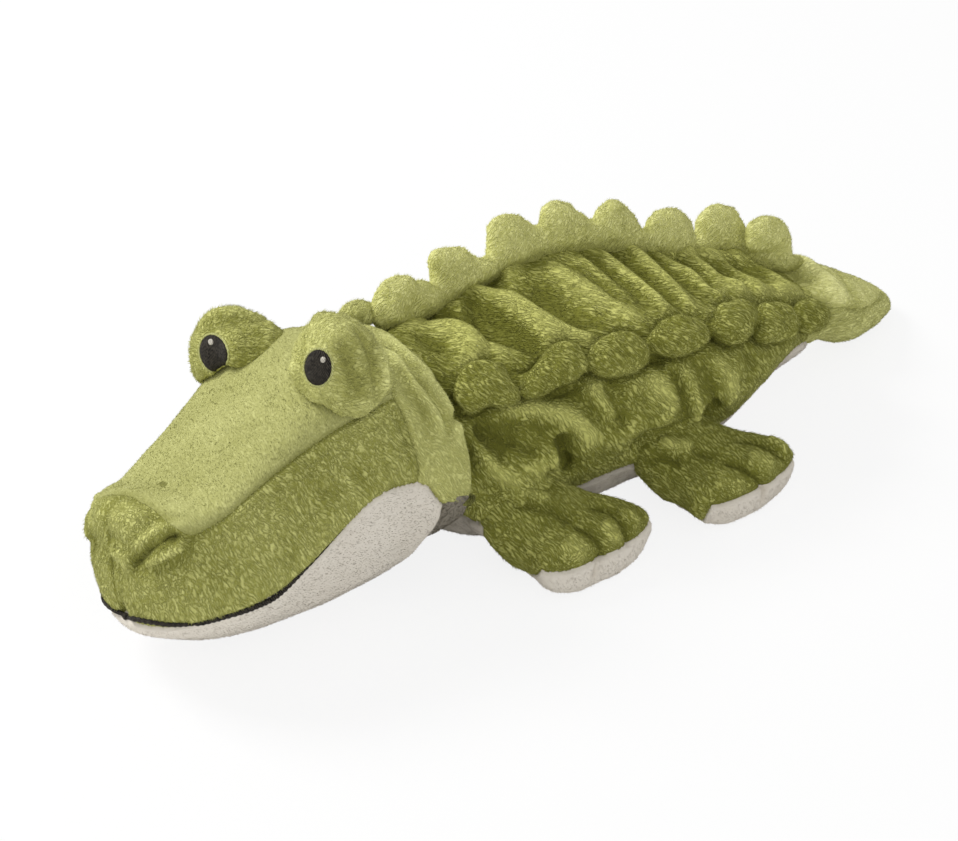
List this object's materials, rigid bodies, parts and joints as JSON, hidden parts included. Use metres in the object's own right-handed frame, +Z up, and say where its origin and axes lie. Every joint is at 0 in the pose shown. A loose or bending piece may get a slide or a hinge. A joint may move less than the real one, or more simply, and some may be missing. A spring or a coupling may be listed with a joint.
{
  "type": "plush crocodile",
  "caption": "Stuffed plush crocodile lying on its belly, with a short pile skin, stitched eyes and mouth, padded back scallops and soft legs.",
  "frame": {"origin": "centre of the bounding box's bottom, on the surface that the toy lies on", "axes": "+Z up; the crocodile faces -Y with its tail towards +Y, and its own left side is at +X"},
  "size_m": [0.14, 0.3557, 0.1043],
  "materials": {
    "green_pile": "short minky pile",
    "light_green_pile": "short minky pile",
    "white_pile": "short minky pile",
    "black_thread": "satin stitch",
    "white_thread": "satin stitch",
    "stuffing_fibre": "loose fibre",
    "calico": "plain weave"
  },
  "bodies": {
    "torso": {"back_panel": "green_pile", "belly_panel": "white_pile", "side_panel_left": "green_pile", "side_panel_right": "green_pile", "torso_stuffing": "stuffing_fibre", "pellet_pouch": "calico", "scallop_strip_left": "light_green_pile", "scallop_strip_right": "light_green_pile"},
    "head": {"neck_hood": "green_pile", "throat_panel": "white_pile", "head_top_panel": "light_green_pile", "head_side_left": "green_pile", "head_side_right": "green_pile", "jaw_panel": "white_pile", "head_stuffing": "stuffing_fibre", "nape_scallops_right": "light_green_pile", "nose_pad": "light_green_pile", "mouth_line": "black_thread", "eye_dome_left": "green_pile", "eye_dome_right": "green_pile", "eye_left": "black_thread", "eye_right": "black_thread", "eye_glint_left": "white_thread", "eye_glint_right": "white_thread"},
    "tail": {"tail_top_panel": "green_pile", "tail_bottom_panel": "green_pile", "tail_stuffing": "stuffing_fibre"},
    "front_left_leg": {"leg_front_left": "green_pile", "sole_front_left": "white_pile", "leg_stuffing_front_left": "stuffing_fibre"},
    "front_right_leg": {"leg_front_right": "green_pile", "sole_front_right": "white_pile", "leg_stuffing_front_right": "stuffing_fibre"},
    "rear_left_leg": {"leg_rear_left": "green_pile", "sole_rear_left": "white_pile", "leg_stuffing_rear_left": "stuffing_fibre"},
    "rear_right_leg": {"leg_rear_right": "green_pile", "sole_rear_right": "white_pile", "leg_stuffing_rear_right": "stuffing_fibre"}
  },
  "joints": [
    {"name": "head_nod", "type": "hinge", "parent": "torso", "child": "head", "pos_m": [0, -0.0582, 0.04], "axis": [-1, 0, 0], "range_deg": [-4, 12], "stiffness_Nm_per_rad": 0.1},
    {"name": "tail_swing", "type": "hinge", "parent": "torso", "child": "tail", "pos_m": [-0.0025, 0.1258, 0.024], "axis": [0, 0, 1], "range_deg": [-25, 25], "stiffness_Nm_per_rad": 0.01},
    {"name": "front_left_lift", "type": "hinge", "parent": "torso", "child": "front_left_leg", "pos_m": [0.033, -0.03336, 0.019], "axis": [0, -1, 0], "range_deg": [-8, 25], "stiffness_Nm_per_rad": 0.01},
    {"name": "front_right_lift", "type": "hinge", "parent": "torso", "child": "front_right_leg", "pos_m": [-0.033, -0.03336, 0.019], "axis": [0, 1, 0], "range_deg": [-8, 25], "stiffness_Nm_per_rad": 0.01},
    {"name": "rear_left_lift", "type": "hinge", "parent": "torso", "child": "rear_left_leg", "pos_m": [0.033, 0.03178, 0.019], "axis": [0, -1, 0], "range_deg": [-8, 25], "stiffness_Nm_per_rad": 0.01},
    {"name": "rear_right_lift", "type": "hinge", "parent": "torso", "child": "rear_right_leg", "pos_m": [-0.033, 0.03178, 0.019], "axis": [0, 1, 0], "range_deg": [-8, 25], "stiffness_Nm_per_rad": 0.01}
  ]
}
